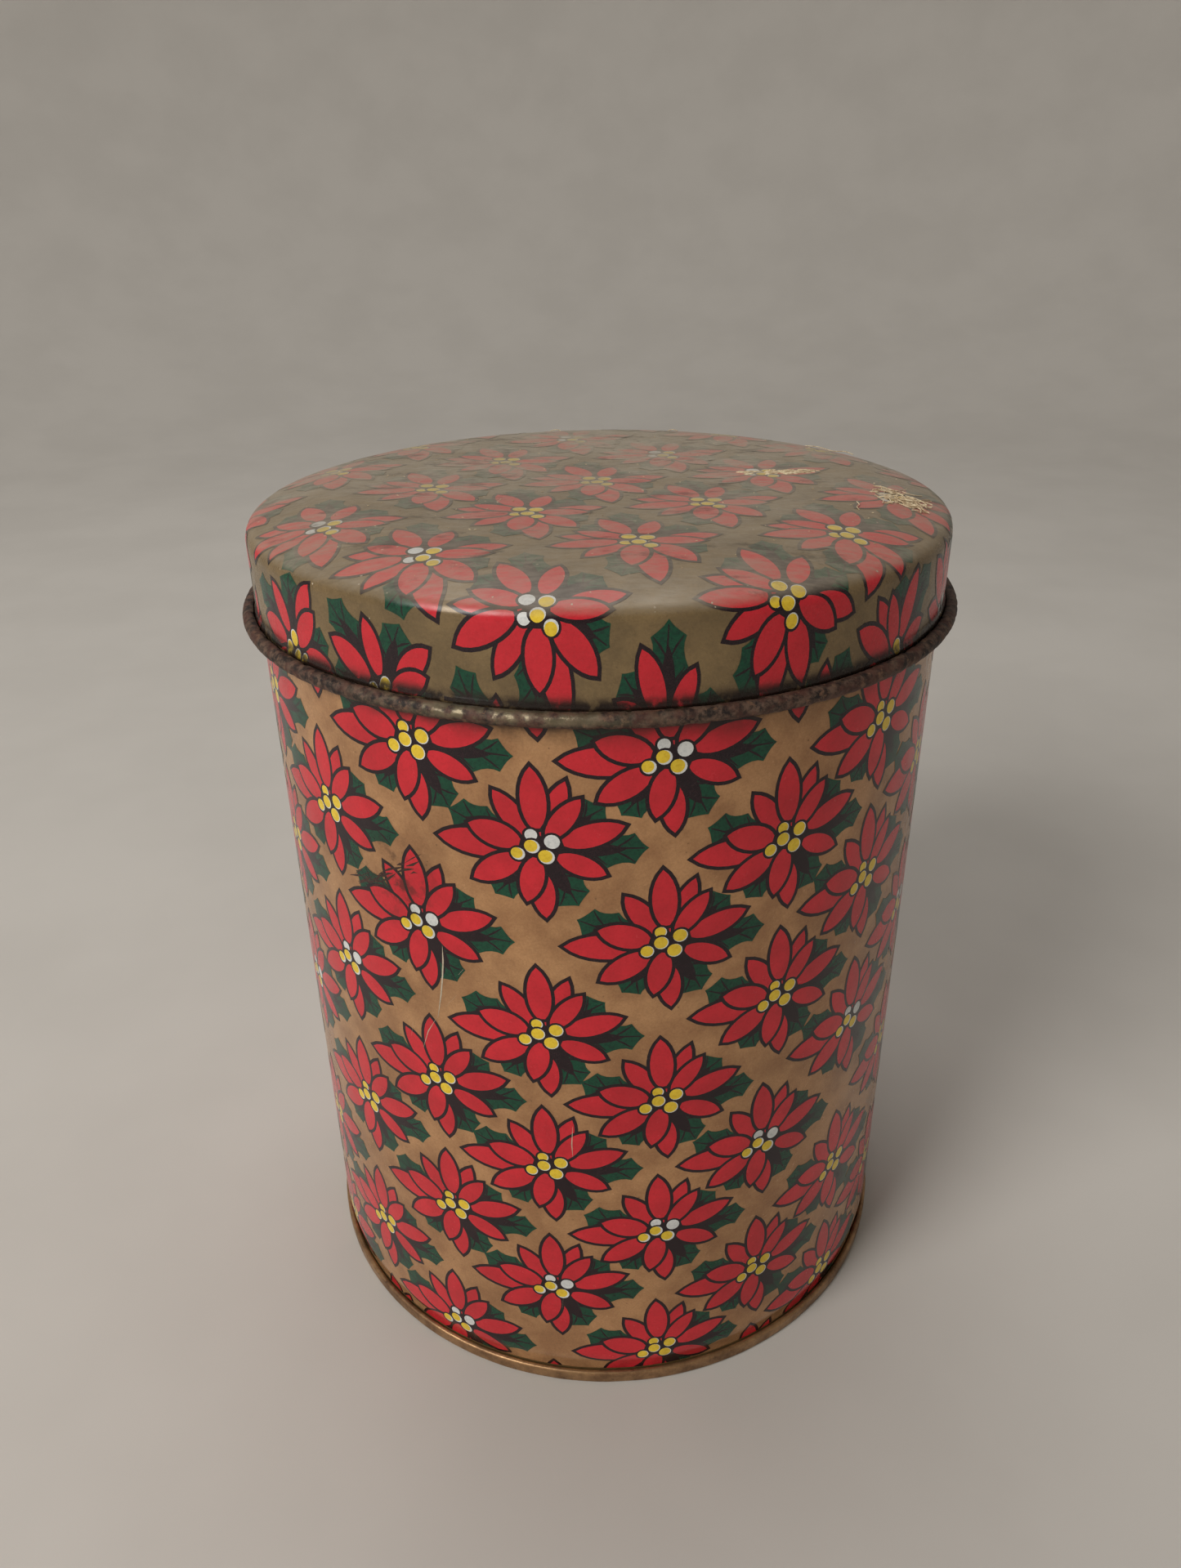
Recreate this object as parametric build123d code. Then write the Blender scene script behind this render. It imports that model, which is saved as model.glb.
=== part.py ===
from build123d import *
import os
from math import atan, copysign, cos, degrees, radians, sin

# Round slip-lid tin of printed tinplate: a drawn lid, a rolled body wall and a seamed-on base.
# Millimetres, +Z up, origin on the axis at the plane that the base seam rests on.

# Driving dimensions
tin_height = 132.1          # closed, from the resting plane to the lid's flat top
body_diameter = 100.0       # outside of the body wall
plate = 0.25                # tinplate thickness, the same in all three pieces

# Lid
lid_height = 14.0           # from the bottom of the curl to the top of the shoulder
panel_radius = 35.0         # flat part of the top; outside it the top bends softly down
panel_rise = 2.1            # rise of the flat part above the shoulder
lid_clearance = 0.2         # radial gap between skirt and body wall
shoulder_radius = 2.3       # outside radius where the top turns into the skirt
curl_radius = 1.0           # outside radius of the hollow rolled edge
curl_wrap = 305.0           # degrees of turn in the rolled edge
flare_depth = 0.25          # how far the skirt steps outwards just above the curl
flare_length = 1.2

# Body wall
mouth_drop = 0.95           # gap between the underside of the lid and the top of the mouth roll
mouth_roll_radius = 0.9     # outside radius of the inward roll round the mouth
mouth_roll_wrap = 305.0
side_seam_width = 4.6       # folded lock seam, on the inside at the back
side_seam_depth = 0.75      # three more layers of plate inside the wall
side_seam_end_gap = 0.4     # seam stops this far short of the neck and the mouth roll
seam_groove_width = 0.3     # the line that the seam leaves on the outside
seam_groove_depth = 0.1
neck_depth = 0.5            # how far the wall narrows just above the base seam
neck_length = 4.0
neck_low = 2.4              # height where the neck begins

# Base and its double seam
seam_height = 2.3
seam_gap = 0.08             # between neighbouring layers of the double seam
seam_corner_radius = 0.4    # centre line of the plate at the foot of the seam
hook_gap = 0.1              # between a hook's tip or fold and the fold it sits in
panel_height = 3.7          # centre line of the base panel above the resting plane
panel_corner_radius = 0.8
rib_radius = 38.0           # start of the stiffening ring pressed into the base panel
rib_width = 6.0
rib_rise = 0.9

# Derived sizes
half_plate = plate / 2
body_radius = body_diameter / 2
wall_line = body_radius - half_plate                     # centre line of the body wall
foot_line = wall_line - neck_depth                       # centre line of the wall inside the base seam
layer_pitch = plate + seam_gap
skirt_line = body_radius + lid_clearance + half_plate    # centre line of the lid skirt
lid_radius = skirt_line + half_plate
shoulder_top = tin_height - panel_rise
knee_reach = lid_radius - shoulder_radius - panel_radius
edge_slope = 2 * atan(panel_rise / knee_reach)           # slope of the top where it meets the shoulder
knee_radius = knee_reach / sin(edge_slope) + shoulder_radius
curl_height = shoulder_top - lid_height + curl_radius    # height of the curl's centre
mouth_top = shoulder_top - plate - mouth_drop


class SheetPath:
    """Profile of one bent sheet of plate, drawn by walking along its centre line."""

    def __init__(self, radius, height, heading):
        self.point = Vector(radius, height)
        self.heading = heading
        self.left = []
        self.right = []
        self.first_cap = Line(*self.faces_at(self.point, heading))

    @staticmethod
    def direction(heading):
        return Vector(cos(radians(heading)), sin(radians(heading)))

    def faces_at(self, point, heading):
        """The points on the sheet's left and right faces beside a point of its centre line."""
        across = self.direction(heading + 90) * half_plate
        return point + across, point - across

    def straight(self, length):
        start = self.faces_at(self.point, self.heading)
        self.point += self.direction(self.heading) * length
        end = self.faces_at(self.point, self.heading)
        self.left.append(Line(start[0], end[0]))
        self.right.append(Line(start[1], end[1]))

    def bend(self, radius, turn):
        """Turn by an angle in degrees, left when positive, on a centre-line radius."""
        centre = self.point + self.direction(self.heading + copysign(90, turn)) * radius
        arm = self.point - centre
        stations = [0, turn / 2, turn]
        faces = [self.faces_at(centre + arm.rotate(Axis.Z, a), self.heading + a) for a in stations]
        self.left.append(ThreePointArc(*[pair[0] for pair in faces]))
        self.right.append(ThreePointArc(*[pair[1] for pair in faces]))
        self.point = centre + arm.rotate(Axis.Z, turn)
        self.heading += turn

    def step(self, length, shift):
        """A smooth sideways step, to the left when positive, made of two equal bends."""
        turn = degrees(2 * atan(shift / length))
        radius = length / (2 * sin(radians(abs(turn))))
        self.bend(radius, turn)
        self.bend(radius, -turn)

    def turned_solid(self):
        """Close the outline at both ends of the sheet and turn it round the tin's axis."""
        last_cap = Line(*self.faces_at(self.point, self.heading))
        outline = Wire(self.left + self.right + [self.first_cap, last_cap])
        return revolve(Plane.XZ * make_face(outline), Axis.Z, 360)


def make_lid():
    """Flat top with a softly bent edge, round shoulder, skirt, small flare, and a hollow rolled curl."""
    shoulder_line = shoulder_radius - half_plate
    flare_start = curl_height + curl_radius - half_plate + flare_length
    path = SheetPath(0, tin_height - half_plate, 0)
    path.straight(panel_radius)
    path.bend(knee_radius - half_plate, -degrees(edge_slope))
    path.bend(shoulder_line, degrees(edge_slope) - 90)
    path.straight(path.point.Y - flare_start)
    path.step(flare_length, flare_depth)
    path.straight(path.point.Y - curl_height)
    path.bend(curl_radius - half_plate, curl_wrap)
    return path.turned_solid()


def back_block(width, depth, low, high):
    """A block standing on the body wall's rearmost line."""
    block = Box(width, depth, high - low, align=(Align.CENTER, Align.CENTER, Align.MIN))
    return Pos(0, body_radius, low) * block


def make_side_seam(low, high):
    """The folded seam's extra layers, lying against the inside of the wall at the back."""
    on_base = (Align.CENTER, Align.CENTER, Align.MIN)
    ring = Cylinder(wall_line, high - low, align=on_base)
    ring -= Cylinder(wall_line - half_plate - side_seam_depth, high - low, align=on_base)
    return (Pos(0, 0, low) * ring) & back_block(side_seam_width, body_radius, low, high)


def make_body_wall():
    """Rolled cylinder: hooked and necked at the foot, rolled inwards at the mouth, seamed at the back."""
    fold_height = plate + hook_gap + half_plate + layer_pitch
    hook_tip = seam_height - plate - layer_pitch
    mouth_line = mouth_roll_radius - half_plate
    path = SheetPath(foot_line + 2 * layer_pitch, hook_tip, -90)
    path.straight(hook_tip - fold_height)
    path.bend(layer_pitch, -180)
    path.straight(neck_low - fold_height)
    path.step(neck_length, -neck_depth)
    path.straight(mouth_top - mouth_roll_radius - path.point.Y)
    path.bend(mouth_line, mouth_roll_wrap)
    wall = path.turned_solid()
    seam_low = neck_low + neck_length + side_seam_end_gap
    seam_high = mouth_top - 2 * mouth_roll_radius - side_seam_end_gap
    groove = back_block(seam_groove_width, 2 * seam_groove_depth, seam_low, seam_high)
    return wall + make_side_seam(seam_low, seam_high) - groove


def make_base():
    """Recessed panel with one stiffening ring, and the outer layers of the double seam."""
    chuck_line = foot_line - layer_pitch
    foot_width = 4 * layer_pitch
    fold_height = seam_height - half_plate - layer_pitch
    hook_tip = plate + hook_gap + half_plate + layer_pitch + hook_gap
    path = SheetPath(0, panel_height, 0)
    path.straight(rib_radius)
    path.step(rib_width / 3, rib_rise)
    path.straight(rib_width / 3)
    path.step(rib_width / 3, -rib_rise)
    path.straight(chuck_line - panel_corner_radius - path.point.X)
    path.bend(panel_corner_radius, -90)
    path.straight(path.point.Y - half_plate - seam_corner_radius)
    path.bend(seam_corner_radius, 90)
    path.straight(foot_width - 2 * seam_corner_radius)
    path.bend(seam_corner_radius, 90)
    path.straight(fold_height - path.point.Y)
    path.bend(layer_pitch, 180)
    path.straight(path.point.Y - hook_tip)
    return path.turned_solid()


os.makedirs("parts", exist_ok=True)
export_step(make_lid(), "parts/lid.step")
export_step(make_body_wall(), "parts/body_wall.step")
export_step(make_base(), "parts/base.step")
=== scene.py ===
import random
from math import atan, ceil, copysign, cos, degrees, hypot, pi, radians, sin, sqrt

import bpy
import numpy as np
from mathutils import Matrix, Vector, noise
from mathutils.geometry import delaunay_2d_cdt


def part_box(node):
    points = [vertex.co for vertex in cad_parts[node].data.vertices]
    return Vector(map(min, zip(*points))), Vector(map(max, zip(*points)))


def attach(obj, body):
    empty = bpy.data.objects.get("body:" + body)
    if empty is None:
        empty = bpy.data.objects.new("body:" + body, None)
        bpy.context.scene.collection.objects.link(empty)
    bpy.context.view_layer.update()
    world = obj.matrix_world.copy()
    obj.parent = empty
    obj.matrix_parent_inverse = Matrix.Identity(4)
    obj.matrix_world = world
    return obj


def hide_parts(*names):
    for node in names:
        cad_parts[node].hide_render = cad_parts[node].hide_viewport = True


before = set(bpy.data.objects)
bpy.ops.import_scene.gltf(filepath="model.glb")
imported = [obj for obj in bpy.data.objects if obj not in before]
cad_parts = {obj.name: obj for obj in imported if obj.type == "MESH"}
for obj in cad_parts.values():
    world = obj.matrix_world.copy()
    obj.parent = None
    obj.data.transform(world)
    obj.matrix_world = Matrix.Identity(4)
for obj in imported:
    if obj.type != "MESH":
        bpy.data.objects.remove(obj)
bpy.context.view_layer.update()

# Round slip-lid tin of printed tinplate, dressed for its looks.
# Sizes here are millimetres in the frame's own axes; MM turns them into metres when a mesh is made.
# An angle round the tin is measured from the front (-Y) towards the right (+X).
MM = 0.001

# Sheet metal, the same sizes as the CAD model
TIN_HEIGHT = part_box("lid")[1].z / MM
LID_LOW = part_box("lid")[0].z / MM
MOUTH_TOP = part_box("body_wall")[1].z / MM
BODY_RADIUS = 50.0
PANEL_RADIUS = 35.0
PANEL_RISE = 2.1
PLATE = 0.25
LID_CLEARANCE = 0.2
SHOULDER_RADIUS = 2.3
CURL_RADIUS = 1.0
CURL_WRAP = 305
FLARE_DEPTH = 0.25
FLARE_LENGTH = 1.2
MOUTH_ROLL_RADIUS = 0.9
MOUTH_ROLL_WRAP = 305
SIDE_SEAM_WIDTH = 4.6
SIDE_SEAM_DEPTH = 0.75
SIDE_SEAM_GAP = 0.4
NECK_DEPTH = 0.5
NECK_LENGTH = 4.0
NECK_LOW = 2.4
GROOVE_WIDTH = 0.36
GROOVE_DEPTH = 0.1
GROOVE_FADE = 0.3           # half the length over which the seam line fades out at each end
SEAM_HEIGHT = 2.3
SEAM_GAP = 0.08
SEAM_CORNER = 0.4
HOOK_GAP = 0.1
PANEL_HEIGHT = 3.7
PANEL_CORNER = 0.8
RIB_RADIUS = 38.0
RIB_WIDTH = 6.0
RIB_RISE = 0.9

HALF_PLATE = PLATE / 2
ON_AXIS = 1e-6              # a point closer to the axis than this lies on it
LAYER_PITCH = PLATE + SEAM_GAP
WALL_LINE = BODY_RADIUS - HALF_PLATE
FOOT_LINE = WALL_LINE - NECK_DEPTH
SIDE_SEAM_LOW = NECK_LOW + NECK_LENGTH + SIDE_SEAM_GAP
SIDE_SEAM_HIGH = MOUTH_TOP - 2 * MOUTH_ROLL_RADIUS - SIDE_SEAM_GAP
LID_RADIUS = BODY_RADIUS + LID_CLEARANCE + PLATE
CURL_HEIGHT = LID_LOW + CURL_RADIUS
SHOULDER_TOP = TIN_HEIGHT - PANEL_RISE
KNEE_REACH = LID_RADIUS - SHOULDER_RADIUS - PANEL_RADIUS
EDGE_SLOPE = 2 * degrees(atan(PANEL_RISE / KNEE_REACH))
KNEE_RADIUS = KNEE_REACH / sin(radians(EDGE_SLOPE)) + SHOULDER_RADIUS

# The print
INK_LIFT = 0.03             # how far an ink film stands off the plate
WALL_PRINT_LOW = 2.38       # the print shows from the base seam up to the mouth roll
WALL_PRINT_HIGH = 127.2
WALL_MARGIN = 1.7           # unprinted strip on each side of the seam line at the back
LID_PRINT_LOW = 117.95      # the lid's print runs down into the groove behind the curl
INKS = ("leaf_green", "bract_red", "berry_yellow", "berry_white", "key_black", "bare_metal", "rust")


# ---- bent sheets of tinplate

def heading_vector(heading):
    return Vector((cos(radians(heading)), sin(radians(heading))))


class SheetPath:
    """Centre line of one bent sheet, walked in the plane of radius and height."""

    def __init__(self, radius, height, heading):
        self.point = Vector((radius, height))
        self.heading = heading
        self.region = "flat"
        self.stations = [(self.point.copy(), heading, self.region)]

    def put(self):
        self.stations.append((self.point.copy(), self.heading, self.region))

    def straight(self, length, parts=1):
        for _ in range(parts):
            self.point += heading_vector(self.heading) * length / parts
            self.put()

    def bend(self, radius, turn, part_angle=9):
        """Turn by an angle in degrees, left when positive, on a centre-line radius."""
        centre = self.point + heading_vector(self.heading + copysign(90, turn)) * radius
        arm = self.point - centre
        start = self.heading
        parts = max(2, ceil(abs(turn) / part_angle))
        for i in range(1, parts + 1):
            angle = turn * i / parts
            self.point = centre + Matrix.Rotation(radians(angle), 2) @ arm
            self.heading = start + angle
            self.put()

    def step(self, length, shift, part_angle=9):
        """A smooth sideways step, to the left when positive, made of two equal bends."""
        turn = degrees(2 * atan(shift / length))
        radius = length / (2 * sin(radians(abs(turn))))
        self.bend(radius, turn, part_angle)
        self.bend(radius, -turn, part_angle)

    def face(self, side):
        """Points of the left (1) or right (-1) face: radius, height, outward direction, region."""
        points = []
        for point, heading, region in self.stations:
            across = heading_vector(heading + 90 * side)
            at = point + across * HALF_PLATE
            points.append((max(at.x, 0.0), at.y, across, region))
        return points

    def outline(self):
        """The whole cross-section: out along the left face and back along the right one."""
        left = [(*p, "left") for p in self.face(1)]
        right = [(*p, "right") for p in reversed(self.face(-1))]
        return left + right


def lid_path():
    path = SheetPath(0, TIN_HEIGHT - HALF_PLATE, 0)
    path.straight(PANEL_RADIUS, parts=5)
    path.bend(KNEE_RADIUS - HALF_PLATE, -EDGE_SLOPE, part_angle=1.5)
    path.region = "shoulder"
    path.bend(SHOULDER_RADIUS - HALF_PLATE, EDGE_SLOPE - 90, part_angle=7.5)
    path.region = "skirt"
    flare_start = CURL_HEIGHT + CURL_RADIUS - HALF_PLATE + FLARE_LENGTH
    path.straight(path.point.y - flare_start, parts=4)
    path.step(FLARE_LENGTH, FLARE_DEPTH)
    path.straight(path.point.y - CURL_HEIGHT, parts=3)
    path.region = "curl"
    path.bend(CURL_RADIUS - HALF_PLATE, CURL_WRAP, part_angle=10)
    return path


def wall_path():
    fold_height = PLATE + HOOK_GAP + HALF_PLATE + LAYER_PITCH
    hook_tip = SEAM_HEIGHT - PLATE - LAYER_PITCH
    path = SheetPath(FOOT_LINE + 2 * LAYER_PITCH, hook_tip, -90)
    path.straight(hook_tip - fold_height)
    path.bend(LAYER_PITCH, -180, part_angle=20)
    path.region = "side"
    path.straight(NECK_LOW - fold_height)
    path.step(NECK_LENGTH, -NECK_DEPTH, part_angle=2.5)
    mouth = MOUTH_TOP - MOUTH_ROLL_RADIUS
    fade = 2 * GROOVE_FADE
    for stop in (SIDE_SEAM_LOW, SIDE_SEAM_LOW + fade, 60.0, SIDE_SEAM_HIGH - fade, SIDE_SEAM_HIGH, mouth):
        path.straight(stop - path.point.y)
    path.region = "mouth_roll"
    path.bend(MOUTH_ROLL_RADIUS - HALF_PLATE, MOUTH_ROLL_WRAP, part_angle=12)
    return path


def base_path():
    chuck_line = FOOT_LINE - LAYER_PITCH
    foot_width = 4 * LAYER_PITCH
    fold_height = SEAM_HEIGHT - HALF_PLATE - LAYER_PITCH
    hook_tip = PLATE + HOOK_GAP + HALF_PLATE + LAYER_PITCH + HOOK_GAP
    path = SheetPath(0, PANEL_HEIGHT, 0)
    path.straight(RIB_RADIUS, parts=4)
    path.step(RIB_WIDTH / 3, RIB_RISE)
    path.straight(RIB_WIDTH / 3)
    path.step(RIB_WIDTH / 3, -RIB_RISE)
    path.straight(chuck_line - PANEL_CORNER - path.point.x)
    path.bend(PANEL_CORNER, -90, part_angle=12)
    path.region = "foot"
    path.straight(path.point.y - HALF_PLATE - SEAM_CORNER)
    path.bend(SEAM_CORNER, 90, part_angle=15)
    path.straight(foot_width - 2 * SEAM_CORNER)
    path.region = "rim"
    path.bend(SEAM_CORNER, 90, part_angle=15)
    path.straight(fold_height - path.point.y, parts=4)
    path.bend(LAYER_PITCH, 180, part_angle=15)
    path.region = "hook"
    path.straight(path.point.y - hook_tip)
    return path


def even_angles(count):
    return [2 * pi * i / count for i in range(count)]


def place_at(radius, height, angle):
    return Vector((radius * sin(angle), -radius * cos(angle), height))


def turned_mesh(name, outline, angles, slot_of, shift):
    """Turns a cross-section round the axis. slot_of(region, side) gives the material slot number;
    shift(radius, height, angle, region, side) gives how far a point moves along its outward direction."""
    verts, rings = [], []
    for radius, height, outward, region, side in outline:
        if radius < ON_AXIS:
            rings.append([len(verts)] * len(angles))
            verts.append((0, 0, height * MM))
            continue
        rings.append(list(range(len(verts), len(verts) + len(angles))))
        for angle in angles:
            outwards = shift(radius, height, angle, region, side)
            place = place_at(radius + outward.x * outwards, height + outward.y * outwards, angle)
            verts.append(tuple(place * MM))
    faces, slots = [], []
    starts_on_axis = outline[0][0] < ON_AXIS
    count = len(outline)
    for i in range(count - 1 if starts_on_axis else count):
        near, far = rings[i], rings[(i + 1) % count]
        number = slot_of(*outline[(i + 1) % count][3:])
        for j in range(len(angles)):
            k = (j + 1) % len(angles)
            corners = (near[j], far[j], far[k], near[k])
            face = tuple(dict.fromkeys(corners))
            if len(face) > 2:
                faces.append(face)
                slots.append(number)
    mesh = bpy.data.meshes.new(name)
    mesh.from_pydata(verts, [], faces, shade_flat=False)
    mesh.polygons.foreach_set("material_index", slots)
    mesh.set_sharp_from_angle(angle=radians(40))
    return mesh


def linked_object(name, data):
    thing = bpy.data.objects.new(name, data)
    bpy.context.scene.collection.objects.link(thing)
    return thing


def add_piece(name, mesh, materials, body):
    piece = linked_object(name, mesh)
    for material in materials:
        mesh.materials.append(material)
    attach(piece, body)
    return piece


# ---- the flower print

# Poinsettia, in millimetres round its own middle: direction, length, width and root distance of each bract,
# from the rearmost to the one on top.
BRACTS = (
    (180.0, 13.2, 3.8, 3.0),
    (211.5, 10.1, 3.4, 2.6),
    (-86.0, 10.1, 3.0, 3.4),
    (69.5, 10.0, 2.8, 1.8),
    (125.5, 9.3, 2.9, 2.0),
    (17.5, 11.1, 3.2, 3.2),
    (-23.0, 9.0, 2.8, 2.6),
    (164.0, 9.2, 3.5, 2.4),
    (-102.0, 8.0, 3.1, 1.4),
    (53.0, 8.8, 2.7, 2.0),
    (93.5, 11.1, 3.3, 2.8),
)
# Holly leaves behind the bracts: direction, length and width.
LEAVES = (
    (0.5, 13.5, 5.2),
    (-59.0, 9.4, 5.6),
    (231.0, 9.3, 5.2),
    (160.0, 12.2, 5.6),
    (36.0, 10.2, 5.4),
)
SPIKES = ((0.34, 0.36), (0.62, 0.5), (0.87, 0.42))     # share of length and of width, on both sides
# Berries: x, y, radius, and whether a pale printing leaves it white.
BERRIES = (
    (-0.85, 1.85, 0.80, True),
    (1.72, 1.05, 0.98, True),
    (-0.75, 0.20, 0.95, False),
    (-2.55, -0.95, 0.88, False),
    (1.02, -1.15, 1.0, False),
)
HEART_RADIUS = 4.4          # solid black behind the berries and the roots of the bracts
KEY_LINE = 0.5              # width of the black line round a bract
BERRY_LINE = 0.32
YELLOW_SHIFT = (-0.07, 0.04)  # the yellow plate printed slightly off the white one
YELLOW_TRIM = 0.03          # the yellow dot is this much smaller than the white one
PALE_SHIFT = 2.5            # a pale printing is further off, by this factor


def turn(points, angle):
    """The points turned round the origin by an angle in degrees."""
    c, s = cos(radians(angle)), sin(radians(angle))
    return [(x * c - y * s, x * s + y * c) for x, y in points]


def move(points, x, y, scale=1.0):
    return [(px * scale + x, py * scale + y) for px, py in points]


def circle(x, y, radius, count=16):
    return [(x + radius * cos(a), y + radius * sin(a)) for a in even_angles(count)]


def cubic(p0, p1, p2, p3, t):
    u = 1 - t
    return tuple(u**3 * a + 3 * u * u * t * b + 3 * u * t * t * c + t**3 * d
                 for a, b, c, d in zip(p0, p1, p2, p3))


def grown(points, margin, longest_corner=1.9):
    """The outline moved outwards by a margin, with pointed corners kept up to a limit."""
    result = []
    for i, point in enumerate(points):
        before = (Vector(point) - Vector(points[i - 1])).normalized()
        after = (Vector(points[(i + 1) % len(points)]) - Vector(point)).normalized()
        outward = Vector((before.y + after.y, -before.x - after.x))
        outward /= max(2 / longest_corner**2, 1 + before.dot(after))
        result.append(tuple(Vector(point) + outward * margin))
    return result


def bract_outline(length, width, root, count=9):
    """A pointed petal along +x, counter-clockwise."""
    reach = length - root
    side = [cubic((0, 0.14 * width), (0.2 * reach, 0.62 * width), (0.76 * reach, 0.64 * width), (reach, 0),
                  i / count) for i in range(count)]
    lower = [(root + x, -y) for x, y in side]
    upper = [(root + x, y) for x, y in reversed(side)]
    return lower + [(length, 0)] + upper


def leaf_outline(length, width, count=4):
    """A holly leaf along +x: hollow edges between pointed spikes."""
    corners = [(0, 0.1 * width)] + [(t * length, h * width) for t, h in SPIKES] + [(length, 0)]
    upper = []
    for (x0, y0), (x1, y1) in zip(corners, corners[1:]):
        span = hypot(x1 - x0, y1 - y0)
        for i in range(count):
            t = i / count
            dip = min(0.55 * span * t * (1 - t), 0.45 * (y0 + (y1 - y0) * t))
            upper.append((x0 + (x1 - x0) * t + 0.25 * dip, y0 + (y1 - y0) * t - dip))
    lower = [(x, -y) for x, y in upper]
    return lower + [(length, 0)] + list(reversed(upper))


def tapered_stroke(points, width, blunt=0.35):
    """A thin pointed stroke that follows a few points."""
    left, right = [], []
    last = len(points) - 1
    for i, point in enumerate(points):
        ahead = Vector(points[min(i + 1, last)]) - Vector(points[max(i - 1, 0)])
        across = Vector((-ahead.y, ahead.x)).normalized()
        half = width / 2 * (blunt if i in (0, last) else 1.0)
        left.append(tuple(Vector(point) + across * half))
        right.append(tuple(Vector(point) - across * half))
    return right + list(reversed(left))


def leaf_shapes():
    shapes = []
    for direction, length, width in LEAVES:
        shapes.append(("leaf_green", turn(leaf_outline(length, width), direction)))
        shadow = bract_outline(0.8 * length, 0.4 * width, 0.1 * length)
        shapes.append(("key_black", turn(shadow, direction)))
        middle = [(0.2 * length, 0), (0.6 * length, 0.05 * width), (0.96 * length, 0)]
        shapes.append(("key_black", turn(tapered_stroke(middle, 0.4), direction)))
        for share, half in SPIKES[1:]:
            for side in (-1, 1):
                vein = [((share - 0.2) * length, 0), ((share - 0.08) * length, side * half * width * 0.45),
                        (share * length, side * half * width * 0.85)]
                shapes.append(("key_black", turn(tapered_stroke(vein, 0.3), direction)))
    return shapes


def flower_shapes(pale):
    """Bracts and berries; a pale printing leaves some of the berries white."""
    shapes = [("key_black", circle(0.3, 0, HEART_RADIUS, 24))]
    for direction, length, width, root in BRACTS:
        outline = bract_outline(length, width, root)
        shapes.append(("key_black", turn(grown(outline, KEY_LINE), direction)))
        shapes.append(("bract_red", turn(outline, direction)))
    for x, y, radius, may_fade in BERRIES:
        shapes.append(("key_black", circle(x, y, radius + BERRY_LINE)))
        shapes.append(("berry_white", circle(x, y, radius)))
        shift = Vector(YELLOW_SHIFT) * (PALE_SHIFT if pale else 1)
        if not (pale and may_fade):
            dot = radius - YELLOW_TRIM - 0.4 * shift.length
            shapes.append(("berry_yellow", circle(x + shift.x, y + shift.y, dot)))
    return shapes


def placed(shapes, at, angle, scale):
    return [(ink, move(turn(points, angle), at.x, at.y, scale)) for ink, points in shapes]


def cut_print(border, shapes, extra_points, guide_lines=()):
    """Cuts overlapping flat shapes into triangles. Returns the points and, for each ink, the triangles
    where that ink lies on top; triangles outside the border or with no ink are left out."""
    points, loops, edges = [], [], []
    for outline in [border] + [outline for _, outline in shapes]:
        loops.append(list(range(len(points), len(points) + len(outline))))
        points += [Vector(p) for p in outline]
    for line in guide_lines:
        first = len(points)
        points += [Vector(p) for p in line]
        edges += [(first + i, first + (i + 1) % len(line)) for i in range(len(line))]
    points += [Vector(p) for p in extra_points]
    cut = delaunay_2d_cdt(points, edges, loops, 0, 1e-4, True)
    corners = np.array([(p.x, p.y) for p in cut[0]])
    per_ink = {ink: [] for ink in INKS}
    for face, owners in zip(cut[2], cut[5]):
        if 0 in owners and len(owners) > 1:
            per_ink[shapes[max(owners) - 1][0]].append(face)
    return corners, per_ink


def film_mesh(name, corners, faces, wrap):
    """One ink as an open sheet; wrap turns flat points into places and outward directions."""
    used = np.unique(np.array(faces))
    renumber = np.full(len(corners), -1)
    renumber[used] = np.arange(len(used))
    flat = corners[used]
    triangles = renumber[np.array(faces)]
    a, b, c = (flat[triangles[:, i]] for i in range(3))
    turns = (b[:, 0] - a[:, 0]) * (c[:, 1] - a[:, 1]) - (b[:, 1] - a[:, 1]) * (c[:, 0] - a[:, 0])
    triangles[turns < 0] = triangles[turns < 0][:, ::-1]
    triangles = triangles[np.abs(turns) > 1e-7]
    places, normals = wrap(flat)
    mesh = bpy.data.meshes.new(name)
    mesh.from_pydata((places * MM).tolist(), [], triangles.tolist(), shade_flat=False)
    mesh.normals_split_custom_set_from_vertices(normals.tolist())
    return mesh


# The printed sheet: columns of flowers, each column half a row above the one before it. The artist set nine
# flowers by eye and repeated them, so each of the nine is moved a little off the even lattice.
COLUMN_PITCH = 16.25
ROW_PITCH = 26.0
FIRST_FLOWER = Vector((7.7, 6.8))
FLOWER_SHIFTS = {
    (0, 0): (0.0, 0.05), (0, 2): (0.0, 0.3), (0, 4): (0.0, -0.45),
    (1, 0): (0.0, -0.8), (1, 2): (-0.5, -0.05), (1, 4): (0.5, 0.5),
    (2, 0): (0.0, -1.65), (2, 2): (0.3, 1.35), (2, 4): (0.0, 0.4),
}
PALE_STEP = 2               # flowers on this step of the repeat lack yellow on some berries


def sheet_flowers(columns, half_rows):
    """Place on the printed sheet, and whether the berries are pale, for every flower."""
    for column in columns:
        for half_row in half_rows:
            step = (half_row - column) % 6
            if step % 2 == 0:
                even = FIRST_FLOWER + Vector((column * COLUMN_PITCH, half_row * ROW_PITCH / 2))
                yield even + Vector(FLOWER_SHIFTS[column % 3, step]), step == PALE_STEP


def flower_field(places, angle=0.0, scale=1.0):
    """The leaves of every flower, and over them the flowers."""
    leaves = leaf_shapes()
    flowers = {pale: flower_shapes(pale) for pale in (False, True)}
    shapes = []
    for at, _ in places:
        shapes += placed(leaves, at, angle, scale)
    for at, pale in places:
        shapes += placed(flowers[pale], at, angle, scale)
    return shapes


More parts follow.
